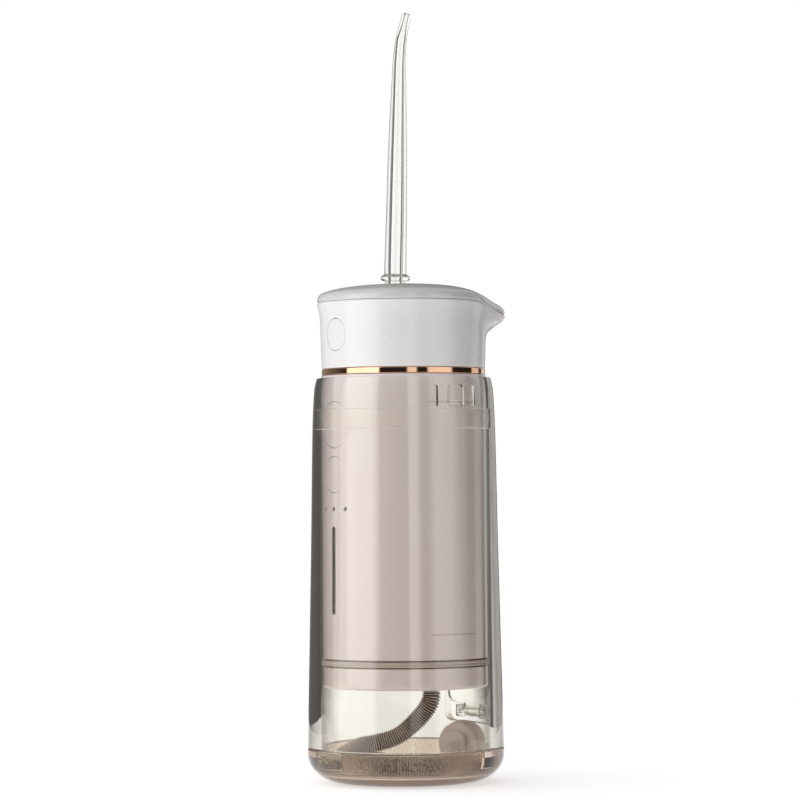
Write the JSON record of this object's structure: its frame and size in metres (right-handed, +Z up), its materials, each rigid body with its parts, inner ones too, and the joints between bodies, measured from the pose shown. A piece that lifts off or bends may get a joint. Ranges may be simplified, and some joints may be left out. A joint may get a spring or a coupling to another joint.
{
  "type": "cordless water jet irrigator",
  "caption": "Telescoping handheld water-jet irrigator: smoky clear tank, slim pump body, white beaked head and a bent jet nozzle.",
  "frame": {"origin": "centre of the tank's flat underside", "axes": "+Z up along the tank's axis to the nozzle; -Y is the front with the buttons, +Y the back with the head's beak and the fill lid"},
  "size_m": [0.0608, 0.0668, 0.2375],
  "materials": {
    "smoky_plastic": "smoky clear, polished",
    "clear_plastic": "water clear, polished",
    "beige_plastic": "pinkish beige, satin",
    "white_plastic": "white, satin gloss",
    "grey_plastic": "pale grey, glossy",
    "rose_metal": "rose gold mirror plating",
    "hose_rubber": "smoky translucent corrugated",
    "weight_plastic": "pinkish grey, matte",
    "seal_rubber": "soft silicone",
    "steel": "bare",
    "dark_plastic": "smoked",
    "board": "green laminate",
    "battery_wrap": "shrink wrap"
  },
  "bodies": {
    "tank": {"tank_shell": "smoky_plastic", "tank_base": "smoky_plastic", "base_seal_ring": "seal_rubber", "guide_collar": "clear_plastic", "lid_hinge_pin": "clear_plastic", "suction_hose": "hose_rubber", "weight_hose_barb": "weight_plastic", "suction_weight": "weight_plastic", "weight_strainer": "steel"},
    "lid": {"fill_lid": "clear_plastic", "fill_lid_seal": "seal_rubber"},
    "pump_body": {"hose_barb": "beige_plastic", "body_shell": "beige_plastic", "bottom_cap": "beige_plastic", "tank_seal_ring": "seal_rubber", "trim_ring": "rose_metal", "level_window": "dark_plastic", "mode_light_1": "clear_plastic", "mode_light_2": "clear_plastic", "mode_light_3": "clear_plastic", "head_shell": "white_plastic", "top_cap": "grey_plastic", "charging_socket": "steel", "power_switch": "dark_plastic", "mode_switch": "dark_plastic", "battery_cell": "battery_wrap", "motor_can": "steel", "chassis": "white_plastic", "chassis_screw_1": "steel", "chassis_screw_2": "steel", "circuit_board": "board", "pump_cylinder": "clear_plastic", "pump_head": "white_plastic", "inlet_valve": "seal_rubber", "outlet_valve": "seal_rubber", "inlet_tube": "seal_rubber", "delivery_tube": "seal_rubber", "crank_axle": "steel"},
    "port_cover": {"charging_cover": "white_plastic"},
    "seat": {"nozzle_seat": "white_plastic"},
    "jet": {"nozzle": "clear_plastic"},
    "power_key": {"power_button": "beige_plastic"},
    "mode_key": {"mode_button": "beige_plastic"},
    "release_key": {"release_button": "white_plastic"},
    "latch_right": {"latch_right": "smoky_plastic"},
    "latch_left": {"latch_left": "smoky_plastic"},
    "crank": {"crank_gear": "white_plastic"},
    "pinion": {"motor_pinion": "steel"},
    "rod": {"connecting_rod": "white_plastic"},
    "piston": {"pump_piston": "white_plastic", "piston_seal": "seal_rubber"}
  },
  "joints": [
    {"name": "body_slide", "type": "slide", "parent": "tank", "child": "pump_body", "axis": [0, 0, 1], "range_m": [0, 0.0705], "deforming": ["suction_hose"]},
    {"name": "lid_hinge", "type": "hinge", "parent": "tank", "child": "lid", "pos_m": [0, 0.0293, 0.02], "axis": [-1, 0, 0], "range_deg": [0, 100]},
    {"name": "latch_right_flex", "type": "hinge", "parent": "tank", "child": "latch_right", "pos_m": [0.0269, 0, 0.1219], "axis": [0, -1, 0], "range_deg": [0, 5], "stiffness_Nm_per_rad": 0.1},
    {"name": "latch_left_flex", "type": "hinge", "parent": "tank", "child": "latch_left", "pos_m": [-0.0269, 0, 0.1219], "axis": [0, 1, 0], "range_deg": [0, 5], "stiffness_Nm_per_rad": 0.1},
    {"name": "power_press", "type": "slide", "parent": "pump_body", "child": "power_key", "axis": [0, 1, 0], "range_m": [0, 0.0006], "stiffness_N_per_m": 900},
    {"name": "mode_press", "type": "slide", "parent": "pump_body", "child": "mode_key", "axis": [0, 1, 0], "range_m": [0, 0.0006], "stiffness_N_per_m": 900},
    {"name": "release_press", "type": "slide", "parent": "pump_body", "child": "release_key", "axis": [0, 1, 0], "range_m": [0, 0.0015], "stiffness_N_per_m": 700},
    {"name": "cover_hinge", "type": "hinge", "parent": "pump_body", "child": "port_cover", "pos_m": [-0.0049, 0.0246, 0.1332], "axis": [0, 0, 1], "range_deg": [0, 80]},
    {"name": "nozzle_turn", "type": "hinge", "parent": "pump_body", "child": "seat", "pos_m": [0, -0.0028, 0.15], "axis": [0, 0, 1], "continuous": true},
    {"name": "nozzle_pull", "type": "slide", "parent": "seat", "child": "jet", "axis": [0, 0, 1], "range_m": [0, 0.015]},
    {"name": "crank_spin", "type": "hinge", "parent": "pump_body", "child": "crank", "pos_m": [0.00186, 0.00745, 0.054], "axis": [0, 0, 1], "continuous": true},
    {"name": "motor_spin", "type": "hinge", "parent": "pump_body", "child": "pinion", "pos_m": [-0.0115, 0.004, 0.06], "axis": [0, 0, 1], "continuous": true},
    {"name": "rod_swing", "type": "hinge", "parent": "crank", "child": "rod", "pos_m": [0.00186, 0.00965, 0.0632], "axis": [0, 0, 1], "continuous": true},
    {"name": "piston_stroke", "type": "slide", "parent": "pump_body", "child": "piston", "axis": [0, -1, 0], "range_m": [0, 0.0044]}
  ],
  "couplings": [
    {"joint": "motor_spin", "follows": "crank_spin", "ratio": -3.6},
    {"joint": "rod_swing", "follows": "crank_spin", "ratio": -1}
  ]
}
